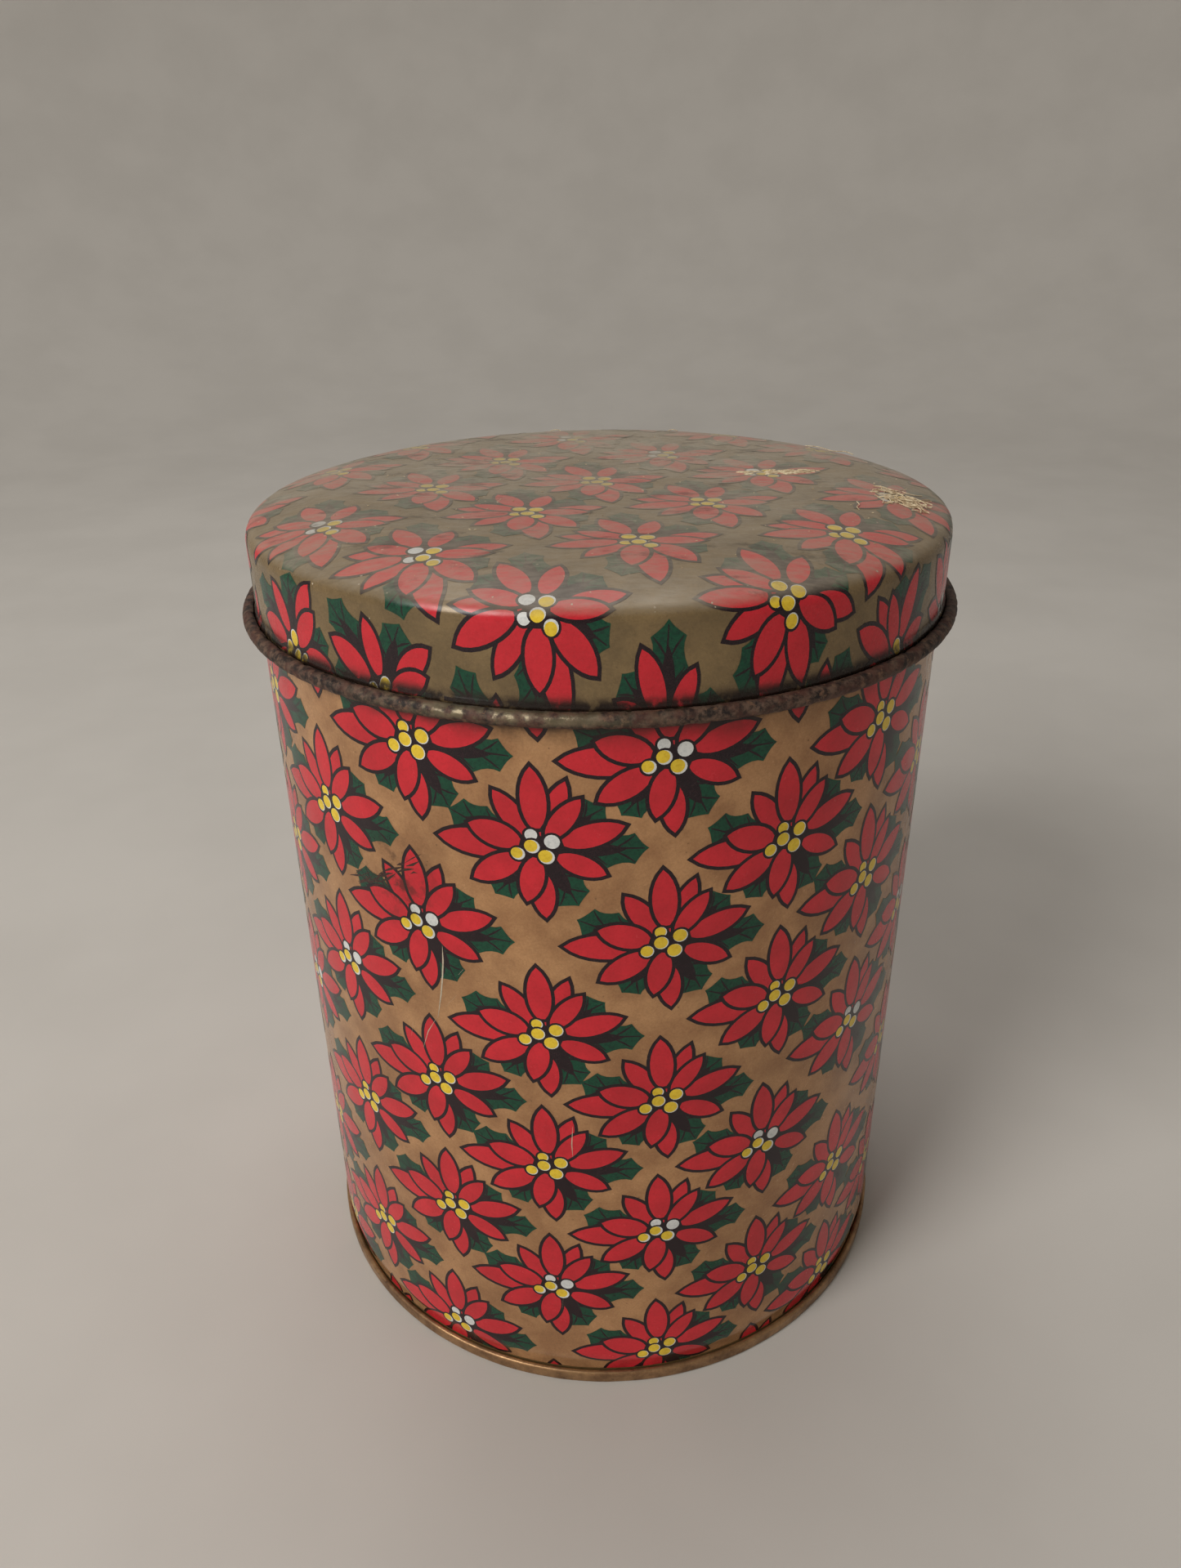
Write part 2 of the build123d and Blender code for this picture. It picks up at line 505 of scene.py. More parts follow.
def wall_damage():
    """Scratches down to the metal and a smear of rust, on the left of the front."""
    shapes = []
    scratches = (
        ([(-22.3, 82.0), (-22.4, 79.6), (-22.7, 77.0), (-23.2, 73.8), (-24.1, 69.4)], 0.22),
        ([(-20.7, 74.4), (-22.6, 71.9)], 0.14),
        ([(-24.4, 69.2), (-26.0, 66.4), (-27.2, 63.0)], 0.14),
        ([(-28.6, 67.0), (-29.2, 64.3)], 0.16),
        ([(-5.0, 54.4), (-5.2, 51.0), (-5.1, 48.6)], 0.16),
        ([(-19.4, 79.0), (-20.2, 77.9)], 0.3),
        ([(-7.2, 19.0), (-7.4, 16.8)], 0.12),
        ([(33.0, 92.5), (34.4, 90.6)], 0.12),
        ([(74.0, 60.0), (75.5, 49.0)], 0.14),
        ([(-118.0, 40.0), (-112.0, 44.0), (-105.0, 46.0)], 0.14),
        ([(120.0, 96.0), (123.0, 84.0)], 0.14),
    )
    for points, width in scratches:
        shapes.append(("bare_metal", tapered_stroke(points, width, blunt=0.1)))
    chance = random.Random(3)
    for _ in range(26):
        along = chance.random()
        x = -37.5 + 11.0 * along + chance.uniform(-1.2, 1.2)
        z = 87.2 + 6.2 * along**1.4 + chance.uniform(-1.0, 1.0)
        length = chance.uniform(0.8, 3.2)
        rise = chance.uniform(0.25, 0.75)
        bow = chance.uniform(-0.25, 0.25)
        points = [(x, z), (x + length / 2, z + length * rise / 2 + bow), (x + length, z + length * rise)]
        shapes.append(("rust", tapered_stroke(points, chance.uniform(0.12, 0.45), blunt=0.2)))
    return shapes


def laid_on(face, stations, distance, towards):
    """Places and outward directions on a turned face. stations gives the distance of each face point;
    towards is the level direction away from the axis of each point that is laid down."""
    columns = zip(*((radius, height, outward.x, outward.y) for radius, height, outward, _ in face))
    radius, height, out, up = (np.interp(distance, stations, column) for column in columns)
    size = np.hypot(out, up)
    normals = np.column_stack([towards * (out / size)[:, None], up / size])
    places = np.column_stack([towards * radius[:, None], height])
    return places + normals * INK_LIFT, normals


def wrap_on_wall(flat):
    """Rolls the flat print round the wall, following the neck above the base seam."""
    angle = flat[:, 0] / BODY_RADIUS
    face = [p for p in wall_path().face(-1) if p[3] == "side"]
    towards = np.column_stack([np.sin(angle), -np.cos(angle)])
    return laid_on(face, [p[1] for p in face], flat[:, 1], towards)


def wall_print():
    places = list(sheet_flowers(range(-11, 11), range(-2, 12)))
    shapes = flower_field(places) + wall_damage()
    end = pi * BODY_RADIUS - WALL_MARGIN
    border = [(-end, WALL_PRINT_LOW), (end, WALL_PRINT_LOW), (end, WALL_PRINT_HIGH), (-end, WALL_PRINT_HIGH)]
    neck_top = NECK_LOW + NECK_LENGTH
    grid = print_grid(end, 2.0, neck_top + 1, WALL_PRINT_HIGH, 3.0)
    grid += print_grid(end, 1.2, NECK_LOW + 0.3, neck_top + 0.5, 0.5)
    return cut_print(border, shapes, grid)


def print_grid(end, across, low, high, up):
    """Extra points that keep the film's triangles small, set slightly off the round sizes of the shapes."""
    return [(x + 0.013, z + 0.017) for x in np.arange(-end + 1, end, across)
            for z in np.arange(low, high, up)]


# The lid's round blank was cut from the same sheet, turned and printed very slightly smaller.
LID_SHEET_TURN = 97.7
LID_SHEET_SCALE = 0.99
LID_SHEET_POINT = FIRST_FLOWER + Vector((COLUMN_PITCH, ROW_PITCH / 2))     # this point of the sheet
LID_BLANK_POINT = Vector((-10.17, -17.64))  # lies here on the blank

# How the plate moved when the lid was drawn, from distance on the blank to distance along the lid:
# unchanged on the top, a little gathered in at the shoulder, stretched down the skirt.
BLANK_DISTANCE = (0.0, 50.0, 51.5, 80.0)
DRAWN_DISTANCE = (0.0, 50.0, 51.3, 83.5)


class DrawnLid:
    """Carries points from the flat printed blank to the drawn lid."""

    def __init__(self, path):
        self.face = [p for p in path.face(1) if p[3] != "curl"]
        radii, heights = (np.array([p[i] for p in self.face]) for i in (0, 1))
        steps = np.hypot(np.diff(radii), np.diff(heights))
        along = np.concatenate([[0.0], np.cumsum(steps)])
        self.blank = np.interp(along, DRAWN_DISTANCE, BLANK_DISTANCE)

    def blank_radius_at(self, height):
        return float(np.interp(-height, [-p[1] for p in self.face], self.blank))

    def wrap(self, flat):
        distance = np.hypot(flat[:, 0], flat[:, 1])
        towards = flat / np.maximum(distance, 1e-6)[:, None]
        return laid_on(self.face, self.blank, distance, towards)


def lid_print(drawn):
    edge = drawn.blank_radius_at(LID_PRINT_LOW)
    turned = Matrix.Rotation(radians(LID_SHEET_TURN), 2) * LID_SHEET_SCALE
    places = [(LID_BLANK_POINT + turned @ (at - LID_SHEET_POINT), pale)
              for at, pale in sheet_flowers(range(-5, 8), range(-8, 11))]
    places = [(at, pale) for at, pale in places if at.length < edge + 16]
    shapes = flower_field(places, LID_SHEET_TURN, LID_SHEET_SCALE) + lid_damage()
    rings = [circle(0, 0, b, 180) for b in drawn.blank if 3 < b < edge - 0.05]
    skirt_top = drawn.blank_radius_at(SHOULDER_TOP - SHOULDER_RADIUS)
    rings += [circle(0, 0, b, 180) for b in np.linspace(skirt_top, edge, 6)[1:-1]]
    return cut_print(circle(0, 0, edge, 360), shapes, [], rings)


def lid_damage():
    """Chips down to the metal along the shoulder, and short scratches on the top."""
    shapes = []
    chance = random.Random(11)
    for _ in range(40):
        angle = chance.uniform(0, 2 * pi)
        distance = chance.gauss(49.8, 1.0)
        size = chance.uniform(0.05, 0.15)
        x, y = distance * sin(angle), -distance * cos(angle)
        shapes.append(("bare_metal", move(ragged_outline(chance, size), x, y)))
    for _ in range(26):
        angle, distance = chance.uniform(0, 2 * pi), 46 * sqrt(chance.random())
        x, y = distance * sin(angle), -distance * cos(angle)
        heading, length = chance.uniform(0, 2 * pi), chance.uniform(1.0, 5.0)
        points = [(x, y), (x + length * cos(heading), y + length * sin(heading))]
        shapes.append(("bare_metal", tapered_stroke(points, chance.uniform(0.05, 0.1), blunt=0.2)))
    return shapes


def ragged_outline(chance, size, count=7):
    """A small uneven blot."""
    return [(size * chance.uniform(0.6, 1.3) * cos(a), size * chance.uniform(0.6, 1.3) * sin(a))
            for a in even_angles(count)]


# ---- materials

def srgb(red, green, blue):
    """A colour given as screen values from 0 to 255, made linear."""
    linear = [c / 12.92 if c <= 0.04045 else ((c + 0.055) / 1.055) ** 2.4
              for c in (red / 255, green / 255, blue / 255)]
    return (*linear, 1.0)


class Shader:
    """A node material, with a short call for each kind of node it uses."""

    # Positions of the colour sockets on a Mix node, whose sockets share their names
    MIX_COLOUR_A = 6
    MIX_COLOUR_B = 7
    MIX_COLOUR_RESULT = 2

    def __init__(self, name):
        self.material = bpy.data.materials.new(name)
        self.material.use_nodes = True
        self.nodes = self.material.node_tree.nodes
        self.links = self.material.node_tree.links
        self.surface = self.nodes["Principled BSDF"]
        self.place = self.nodes.new("ShaderNodeTexCoord").outputs["Object"]

    def feed(self, socket, value):
        if isinstance(value, bpy.types.NodeSocket):
            self.links.new(value, socket)
        else:
            socket.default_value = value

    def node(self, kind, **inputs):
        """A new node with some of its inputs set; an underscore in a name stands for a space."""
        node = self.nodes.new("ShaderNode" + kind)
        for name, value in inputs.items():
            self.feed(node.inputs[name.replace("_", " ")], value)
        return node

    def noise(self, size, detail=4.0, roughness=0.55, stretch=None):
        """Soft noise from 0 to 1 with features of a size in millimetres; stretch scales the axes."""
        place = self.place
        if stretch:
            place = self.node("Mapping", Vector=place, Scale=stretch).outputs["Vector"]
        scale = 1 / (size * MM)
        node = self.node("TexNoise", Vector=place, Scale=scale, Detail=detail, Roughness=roughness)
        return node.outputs["Fac"]

    def cells(self, size):
        """Distance to the middle of the nearest of many scattered spots, 0 at the middle."""
        return self.node("TexVoronoi", Vector=self.place, Scale=1 / (size * MM)).outputs["Distance"]

    def axis(self, letter):
        return self.node("SeparateXYZ", Vector=self.place).outputs[letter]

    def near(self, x, y, z, reach):
        """1 at a place in the frame (mm), falling to 0 at a distance."""
        node = self.node("VectorMath")
        node.operation = "DISTANCE"
        self.feed(node.inputs[0], self.place)
        self.feed(node.inputs[1], (x * MM, y * MM, z * MM))
        return self.ramp(node.outputs["Value"], reach * MM, 0.0)

    def ramp(self, value, low, high, to_low=0.0, to_high=1.0):
        """Smooth step from to_low at low to to_high at high."""
        if low > high:
            low, high, to_low, to_high = high, low, to_high, to_low
        node = self.node("MapRange", Value=value, From_Min=low, From_Max=high, To_Min=to_low, To_Max=to_high)
        node.interpolation_type = "SMOOTHSTEP"
        return node.outputs["Result"]

    def spread(self, value, to_low=0.0, to_high=1.0):
        """Noise, which keeps mostly between 0.3 and 0.7, spread from to_low to to_high."""
        return self.ramp(value, 0.3, 0.7, to_low, to_high)

    def rise(self, low, high, to_low=0.0, to_high=1.0):
        """Smooth step between two heights in the frame (mm)."""
        return self.ramp(self.axis("Z"), low * MM, high * MM, to_low, to_high)

    def math(self, operation, a, b):
        node = self.node("Math")
        node.operation = operation
        self.feed(node.inputs[0], a)
        self.feed(node.inputs[1], b)
        return node.outputs[0]

    def times(self, a, b):
        return self.math("MULTIPLY", a, b)

    def mix(self, share, a, b):
        """Colour a where share is 0, colour b where it is 1."""
        node = self.node("Mix")
        node.data_type = "RGBA"
        self.feed(node.inputs["Factor"], share)
        self.feed(node.inputs[self.MIX_COLOUR_A], a)
        self.feed(node.inputs[self.MIX_COLOUR_B], b)
        return node.outputs[self.MIX_COLOUR_RESULT]

    def shade(self, colour, amount):
        """The colour made darker where amount is below 1 and lighter where it is above 1."""
        node = self.node("VectorMath")
        node.operation = "SCALE"
        self.feed(node.inputs[0], colour)
        self.feed(node.inputs["Scale"], amount)
        return node.outputs[0]

    def bump(self, height, distance, strength):
        """Surface relief from a value, with a full height of distance millimetres."""
        node = self.node("Bump", Strength=strength, Distance=distance * MM, Height=height)
        self.feed(self.surface.inputs["Normal"], node.outputs["Normal"])

    def finish(self, colour, roughness, metallic=0.0, specular=0.5):
        inputs = {"Base Color": colour, "Roughness": roughness, "Metallic": metallic,
                  "Specular IOR Level": specular}
        for name, value in inputs.items():
            self.feed(self.surface.inputs[name], value)
        return self.material


GRIME = srgb(58, 42, 34)
# Pale dust colour, which also paints the sheen on the lid's top.
DUST_AND_SHEEN = srgb(158, 147, 130)
# Near-black brown for the crust above the lid's curl and for the painted shadow line under it.
SOOT_AND_SHADE = srgb(30, 21, 18)
RUST_DARK = srgb(52, 32, 26)
SMUDGE = srgb(52, 46, 38)
PALE_SPECK = srgb(186, 170, 148)
SMEAR_PLACE = (-27.0, -42.0, 90.5)      # middle of the rust smear on the wall, in the frame
WORN_AND_HIGHLIGHT_PLACE = (-12.0, -50.0, LID_LOW + 1.6)     # where the curl is rubbed to metal and carries a painted highlight


def wall_age_and_shade(shader, colour):
    """Age and painted shade on the body: uneven tone, grime under the curl and over the seam, a painted
    shadow line with grime just under the curl, stain round the rust smear.
    """
    colour = shader.shade(colour, shader.spread(shader.noise(14, detail=3), 0.9, 1.06))
    blotch = shader.noise(2.6, detail=6, roughness=0.65)
    below_lid = shader.rise(LID_LOW + 2.6, LID_LOW + 1.0)
    under_curl = shader.times(shader.rise(LID_LOW - 4.0, LID_LOW + 0.5), below_lid)
    over_seam = shader.rise(SEAM_HEIGHT + 3.7, SEAM_HEIGHT + 0.1, 0.0, 0.5)
    edges = shader.math("MAXIMUM", under_curl, over_seam)
    grime = shader.times(edges, shader.ramp(blotch, 0.38, 0.62, 0.1, 0.62))
    colour = shader.mix(grime, colour, GRIME)
    # Painted shadow: a dark line on the wall just under the curl, where the gap behind the curl is in shade,
    # broken up by grime.
    shadow_gap_and_grime = shader.times(shader.rise(LID_LOW - 1.4, LID_LOW - 0.3), below_lid)
    shadow_gap_and_grime = shader.times(shadow_gap_and_grime, shader.ramp(blotch, 0.3, 0.5, 0.6, 0.95))
    colour = shader.mix(shadow_gap_and_grime, colour, SOOT_AND_SHADE)
    stain = shader.near(*SMEAR_PLACE, 9.0)
    stain = shader.times(stain, shader.ramp(blotch, 0.46, 0.6, 0.0, 0.75))
    return shader.mix(stain, colour, RUST_DARK)


def lid_top_mask(shader):
    """1 on top of the lid, 0 on its skirt."""
    return shader.rise(SHOULDER_TOP - 1.4, SHOULDER_TOP - 0.3)


def lid_age_and_sheen(shader, colour):
    """Age and painted sheen on the lid: a film of dust over the top that also paints the glossy sheen,
    stronger towards the back and broken by fine rubbing, grime in the groove above the curl.
    """
    top = lid_top_mask(shader)
    cloud = shader.noise(9, detail=5, roughness=0.6)
    rubbed = shader.noise(1.1, detail=6, roughness=0.7, stretch=(0.45, 1.6, 1.0))
    # Painted sheen: the pale dusty film also stands for the glossy reflection on the lid's top, and is made
    # stronger towards the back.
    dust_and_sheen = shader.times(shader.spread(cloud, 0.46, 0.76), shader.spread(rubbed, 0.7, 1.25))
    dust_and_sheen = shader.times(dust_and_sheen, shader.ramp(shader.axis("Y"), -45 * MM, 45 * MM, 0.76, 1.42))
    colour = shader.mix(shader.times(top, dust_and_sheen), colour, DUST_AND_SHEEN)
    smudge = shader.ramp(shader.noise(5.5, detail=7, roughness=0.72, stretch=(0.5, 1.0, 1.0)), 0.54, 0.68)
    colour = shader.mix(shader.times(top, shader.times(smudge, 0.5)), colour, SMUDGE)
    crumbs = shader.ramp(shader.cells(2.3), 0.10, 0.05, 0.0, 0.7)
    patchy = shader.ramp(shader.noise(5.0, detail=2), 0.52, 0.6)
    colour = shader.mix(shader.times(top, shader.times(crumbs, patchy)), colour, PALE_SPECK)
    groove = shader.rise(LID_LOW + 4.4, LID_LOW + 1.8)
    blotch = shader.noise(2.2, detail=6, roughness=0.65)
    colour = shader.mix(shader.times(groove, shader.ramp(blotch, 0.35, 0.62, 0.15, 0.8)), colour, GRIME)
    crust = shader.times(shader.rise(LID_LOW + 3.6, LID_LOW + 2.4), shader.ramp(blotch, 0.36, 0.5, 0.5, 0.95))
    return shader.mix(crust, colour, SOOT_AND_SHADE)


def printed_finish(shader, colour, on_lid, metallic=0.0):
    """Age with painted shade on the wall and painted sheen on the lid, and varnish over the print: rubbed
    dull on top of the lid, glossier elsewhere.
    """
    colour = lid_age_and_sheen(shader, colour) if on_lid else wall_age_and_shade(shader, colour)
    scuff = shader.noise(1.6, detail=6, roughness=0.7)
    if on_lid:
        base = shader.spread(scuff, 0.2, 0.32)
        roughness = shader.math("ADD", base, shader.times(lid_top_mask(shader), 0.12))
    else:
        roughness = shader.spread(scuff, 0.16, 0.28)
    shader.bump(shader.noise(0.5, detail=3), 0.012, 0.5)
    return shader.finish(colour, roughness, metallic=metallic, specular=0.36)


def ink_material(name, strong, weak, on_lid):
    """One printing ink: speckled where the plate printed thin."""
    shader = Shader(name)
    thin = shader.noise(0.45, detail=5, roughness=0.7)
    wash = shader.noise(3.5, detail=3)
    colour = shader.mix(shader.ramp(thin, 0.42, 0.72), strong, weak)
    colour = shader.shade(colour, shader.ramp(wash, 0.25, 0.75, 0.92, 1.06))
    return printed_finish(shader, colour, on_lid)


def ground_material(name, pale, deep, on_lid):
    """The gold ground: bronze ink laid over the whole sheet, with a fine sandy grain."""
    shader = Shader(name)
    grain = shader.noise(0.32, detail=6, roughness=0.75)
    cloud = shader.noise(6.0, detail=5, roughness=0.6)
    colour = shader.mix(shader.spread(cloud), pale, deep)
    colour = shader.shade(colour, shader.spread(grain, 0.86, 1.1))
    pits = shader.ramp(shader.cells(1.6), 0.1, 0.04, 0.0, 0.5)
    sparse = shader.ramp(shader.noise(4.0, detail=2), 0.52, 0.62)
    colour = shader.mix(shader.times(pits, sparse), colour, GRIME)
    return printed_finish(shader, colour, on_lid, metallic=0.12)


INK_COLOURS = {
    "leaf_green": (srgb(14, 72, 50), srgb(12, 44, 36)),
    "bract_red": (srgb(203, 40, 52), srgb(190, 36, 46)),
    "berry_yellow": (srgb(232, 200, 58), srgb(216, 178, 40)),
    "berry_white": (srgb(222, 224, 222), srgb(196, 200, 200)),
    "key_black": (srgb(30, 17, 23), srgb(42, 24, 30)),
    "bare_metal": (srgb(196, 182, 160), srgb(168, 152, 130)),
    "rust": (srgb(66, 40, 32), srgb(40, 26, 24)),
}


def curl_material():
    """The lid's rolled edge: varnish gone, dark crust with warm rust spots, rubbed to metal at the front,
    where the upper part also carries a painted highlight.
    """
    shader = Shader("curl_rusted_tin")
    patches = shader.noise(3.2, detail=6, roughness=0.68)
    fine = shader.noise(1.2, detail=6, roughness=0.75)
    colour = shader.mix(shader.ramp(fine, 0.4, 0.62), srgb(28, 20, 18), srgb(104, 82, 68))
    rusty = shader.ramp(patches, 0.46, 0.62)
    colour = shader.mix(shader.times(rusty, 0.7), colour, srgb(86, 52, 42))
    flakes = shader.times(shader.ramp(shader.noise(1.1, detail=5, roughness=0.7), 0.56, 0.66), 0.75)
    colour = shader.mix(flakes, colour, srgb(124, 92, 70))
    front = shader.near(*WORN_AND_HIGHLIGHT_PLACE, 25.0)
    worn_and_highlight = shader.times(shader.ramp(shader.noise(1.9, detail=5), 0.40, 0.58), front)
    # Painted highlight: the pale worn colour is kept to the upper part of the curl, where the light catches
    # it.
    worn_and_highlight = shader.times(worn_and_highlight, shader.rise(LID_LOW + 0.2, LID_LOW + 1.2))
    colour = shader.mix(shader.times(worn_and_highlight, 0.85), colour, srgb(132, 122, 98))
    shader.bump(fine, 0.1, 0.9)
    metallic = shader.math("ADD", shader.times(worn_and_highlight, 0.5), 0.2)
    return shader.finish(colour, shader.ramp(worn_and_highlight, 0.0, 1.0, 0.66, 0.32), metallic=metallic)


def base_material():
    """Gold-lacquered base plate: dull brass with an uneven tone and dark spots."""
    shader = Shader("base_gold_lacquer")
    cloud = shader.noise(4.5, detail=5, roughness=0.62)
    fine = shader.noise(0.5, detail=5, roughness=0.7)
    colour = shader.mix(shader.ramp(cloud, 0.35, 0.68), srgb(168, 132, 94), srgb(120, 90, 64))
    colour = shader.shade(colour, shader.spread(fine, 0.82, 1.12))
    spots = shader.ramp(shader.noise(1.4, detail=6, roughness=0.7), 0.6, 0.72, 0.0, 0.8)
    colour = shader.mix(spots, colour, srgb(66, 46, 36))
    shader.bump(fine, 0.05, 0.5)
    return shader.finish(colour, shader.spread(cloud, 0.34, 0.52), metallic=0.65)


def inside_material():
    """Inside of the tin: thin gold lacquer over tinplate, with drawing marks and a few tarnish spots."""
    shader = Shader("inside_gold_lacquer")
    cloud = shader.noise(12, detail=4)
    streak = shader.noise(1.2, detail=4, stretch=(1.0, 1.0, 0.08))
    colour = shader.mix(shader.spread(cloud), srgb(190, 166, 118), srgb(160, 134, 90))
    colour = shader.shade(colour, shader.spread(streak, 0.9, 1.06))
    spots = shader.ramp(shader.noise(2.4, detail=6, roughness=0.7), 0.62, 0.72, 0.0, 0.7)
    colour = shader.mix(spots, colour, srgb(96, 70, 48))
    shader.bump(streak, 0.02, 0.4)
    return shader.finish(colour, shader.spread(cloud, 0.28, 0.42), metallic=0.8)


def residue_material():
    """Crumbs of old paper and glue left on the lid."""
    shader = Shader("dried_residue")
    tone = shader.noise(0.8, detail=5, roughness=0.7)
    colour = shader.mix(shader.ramp(tone, 0.35, 0.65), srgb(222, 207, 174), srgb(166, 140, 108))
    shader.bump(tone, 0.1, 0.7)
    return shader.finish(colour, 0.85)


def floor_material():
    shader = Shader("studio_floor")
    tone = shader.noise(60, detail=3)
    colour = shader.mix(shader.spread(tone), srgb(198, 194, 188), srgb(203, 199, 193))
    return shader.finish(colour, 0.85, specular=0.2)


# ---- pieces

def lid_slot(region, side):
    """Printed outside, rusted curl, lacquered inside."""
    if region == "curl":
        return 1
    return 0 if side == "left" else 2


def wall_slot(region, side):
    """Print on the outside, between the base seam and the mouth roll; lacquer elsewhere."""
    return 0 if region == "side" and side == "right" else 1


def pitted_curl(radius, height, angle, region, side):
    """Rust has eaten shallow pits into the outside of the lid's curl, and it is slightly uneven."""
    if region != "curl" or side != "right":
        return 0.0
    at = place_at(radius, height, angle)
    swell = 0.04 * noise.noise(at * 0.16)
    pit = max(0.0, noise.noise(at * 0.9 + Vector((7, 3, 1))) - 0.08)
    grain = 0.05 * noise.noise(at * 2.2)
    return swell + grain - 0.3 * pit


def rolled_rim(radius, height, angle, region, side):
    """The seaming roller left the base's rim very slightly wavy."""
    if region != "rim" or side != "right":
        return 0.0
    at = place_at(radius, height, angle)
    return 0.035 * noise.noise(at * 0.22) + 0.018 * noise.noise(at * 0.9)


def seam_groove(radius, height, angle, region, side):
    """The line that the folded side seam leaves on the outside of the wall, at the back."""
    on_line = abs(angle - pi) < 1e-4
    along = SIDE_SEAM_LOW + GROOVE_FADE < height < SIDE_SEAM_HIGH - GROOVE_FADE
    if region == "side" and side == "right" and on_line and along:
        return -GROOVE_DEPTH
    return 0.0


def make_lid_pieces():
    path = lid_path()
    mesh = turned_mesh("lid_shell", path.outline(), even_angles(720), lid_slot, pitted_curl)
    ground = ground_material("lid_gold_ground", srgb(134, 112, 78), srgb(112, 94, 66), on_lid=True)
    shell = add_piece("lid_shell", mesh, [ground, curl_material(), inside_material()],
                      "lid")
    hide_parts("lid")
    drawn = DrawnLid(path)
    corners, per_ink = lid_print(drawn)
    add_print("lid_print", corners, per_ink, drawn.wrap, "lid", on_lid=True)


def make_wall_pieces():
    path = wall_path()
    groove = GROOVE_WIDTH / 2 / BODY_RADIUS
    angles = sorted(even_angles(360) + [pi - groove, pi + groove])
    mesh = turned_mesh("wall_shell", path.outline(), angles, wall_slot, seam_groove)
    ground = ground_material("wall_gold_ground", srgb(184, 140, 98), srgb(156, 114, 78), on_lid=False)
    inside = inside_material()
    shell = add_piece("wall_shell", mesh, [ground, inside], "can")
    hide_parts("body_wall")
    add_piece("side_seam", side_seam_mesh(), [inside], "can")
    corners, per_ink = wall_print()
    add_print("wall_print", corners, per_ink, wrap_on_wall, "can", on_lid=False)


def make_base_piece():
    mesh = turned_mesh("base_shell", base_path().outline(), even_angles(480), lambda *_: 0, rolled_rim)
    shell = add_piece("base_shell", mesh, [base_material()], "can")
    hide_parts("base")


def add_print(name, corners, per_ink, wrap, body, on_lid):
    for ink, faces in per_ink.items():
        if not faces:
            continue
        label = name + "_" + ink
        material = ink_material(label, *INK_COLOURS[ink], on_lid)
        add_piece(label, film_mesh(label, corners, faces, wrap), [material], body)


def side_seam_mesh():
    """The folded layers of the side seam, a flat rounded strip against the inside of the wall."""
    outer = WALL_LINE - HALF_PLATE + 0.02
    inner = WALL_LINE - HALF_PLATE - SIDE_SEAM_DEPTH
    fold = SIDE_SEAM_DEPTH / 2
    half = SIDE_SEAM_WIDTH / 2
    middle = (outer + inner) / 2
    section = []
    for side in (-1, 1):
        for i in range(9):
            a = radians(22.5 * i - side * 90)
            section.append((side * (half - fold) + fold * cos(a), middle + fold * sin(a)))
    loop = []
    for i, (s, r) in enumerate(section):
        s1, r1 = section[(i + 1) % len(section)]
        flat_side = abs(s1 - s) > 1
        parts = 6 if flat_side else 1
        for k in range(parts):
            loop.append((s + (s1 - s) * k / parts, r + (r1 - r) * k / parts))
    heights = np.linspace(SIDE_SEAM_LOW, SIDE_SEAM_HIGH, 40)
    verts = []
    for z in heights:
        for s, r in loop:
            verts.append(tuple(place_at(r, z, pi - s / BODY_RADIUS) * MM))
    faces = []
    cap_ends(faces, 0, len(verts), len(loop))
    bridge_rings(faces, 0, len(loop), len(heights))
    mesh = bpy.data.meshes.new("side_seam")
    mesh.from_pydata(verts, [], faces, shade_flat=False)
    mesh.set_sharp_from_angle(angle=radians(50))
    return mesh


CRUMB_CORNERS = 8
FIBRE_SIDES = 5
PANEL_EDGE = LID_RADIUS - SHOULDER_RADIUS      # where the lid's top meets its shoulder
# Patches of residue: x, y, spread in x and in y, and number of crumbs.
CRUMB_PATCHES = ((28.0, 3.6, 4.4, 1.1, 80), (41.5, -11.5, 2.6, 2.2, 50))


def lid_top_height(x, y):
    """Height of the lid's top, on the print."""
    beyond = max(0.0, hypot(x, y) - PANEL_RADIUS)
    return TIN_HEIGHT + INK_LIFT - KNEE_RADIUS + sqrt(KNEE_RADIUS**2 - beyond**2)


def bridge_rings(faces, first, count, rings):
    """Side faces between rings of count points that follow each other from vertex first on."""
    for ring in range(rings - 1):
        for i in range(count):
            a, b = first + ring * count + i, first + ring * count + (i + 1) % count
            faces.append((a, b, b + count, a + count))


def cap_ends(faces, first, last, count):
    """End faces on the first ring (from vertex first) and the last one (up to vertex last)."""
    faces.append(tuple(first + i for i in reversed(range(count))))
    faces.append(tuple(last - count + i for i in range(count)))


def add_crumb(verts, faces, chance, x, y, size, slant, thickness):
    """A flat uneven flake lying on the lid."""
    top = lid_top_height(x, y)
    outline = ragged_outline(chance, 1.0, CRUMB_CORNERS)
    first = len(verts)
    c, s = cos(slant), sin(slant)
    for layer, shrink in ((0.0, 1.0), (thickness * 0.7, 0.9), (thickness, 0.55)):
        for px, py in outline:
            dx, dy = px * size * shrink * 1.7, py * size * shrink * 0.6
            verts.append(((x + dx * c - dy * s) * MM, (y + dx * s + dy * c) * MM, (top + layer) * MM))
    cap_ends(faces, first, len(verts), CRUMB_CORNERS)
    bridge_rings(faces, first, CRUMB_CORNERS, 3)


def rounded_line(bends, parts=6):
    """A smooth line through a few points."""
    line = []
    last = len(bends) - 1
    for i in range(last):
        before, start, end, after = (Vector(bends[min(max(i + k, 0), last)]) for k in (-1, 0, 1, 2))
        for step in range(parts):
            t = step / parts
            square = 2 * before - 5 * start + 4 * end - after
            cube = 3 * start - before - 3 * end + after
            line.append(0.5 * (2 * start + (end - before) * t + square * t**2 + cube * t**3))
    return line + [Vector(bends[last])]


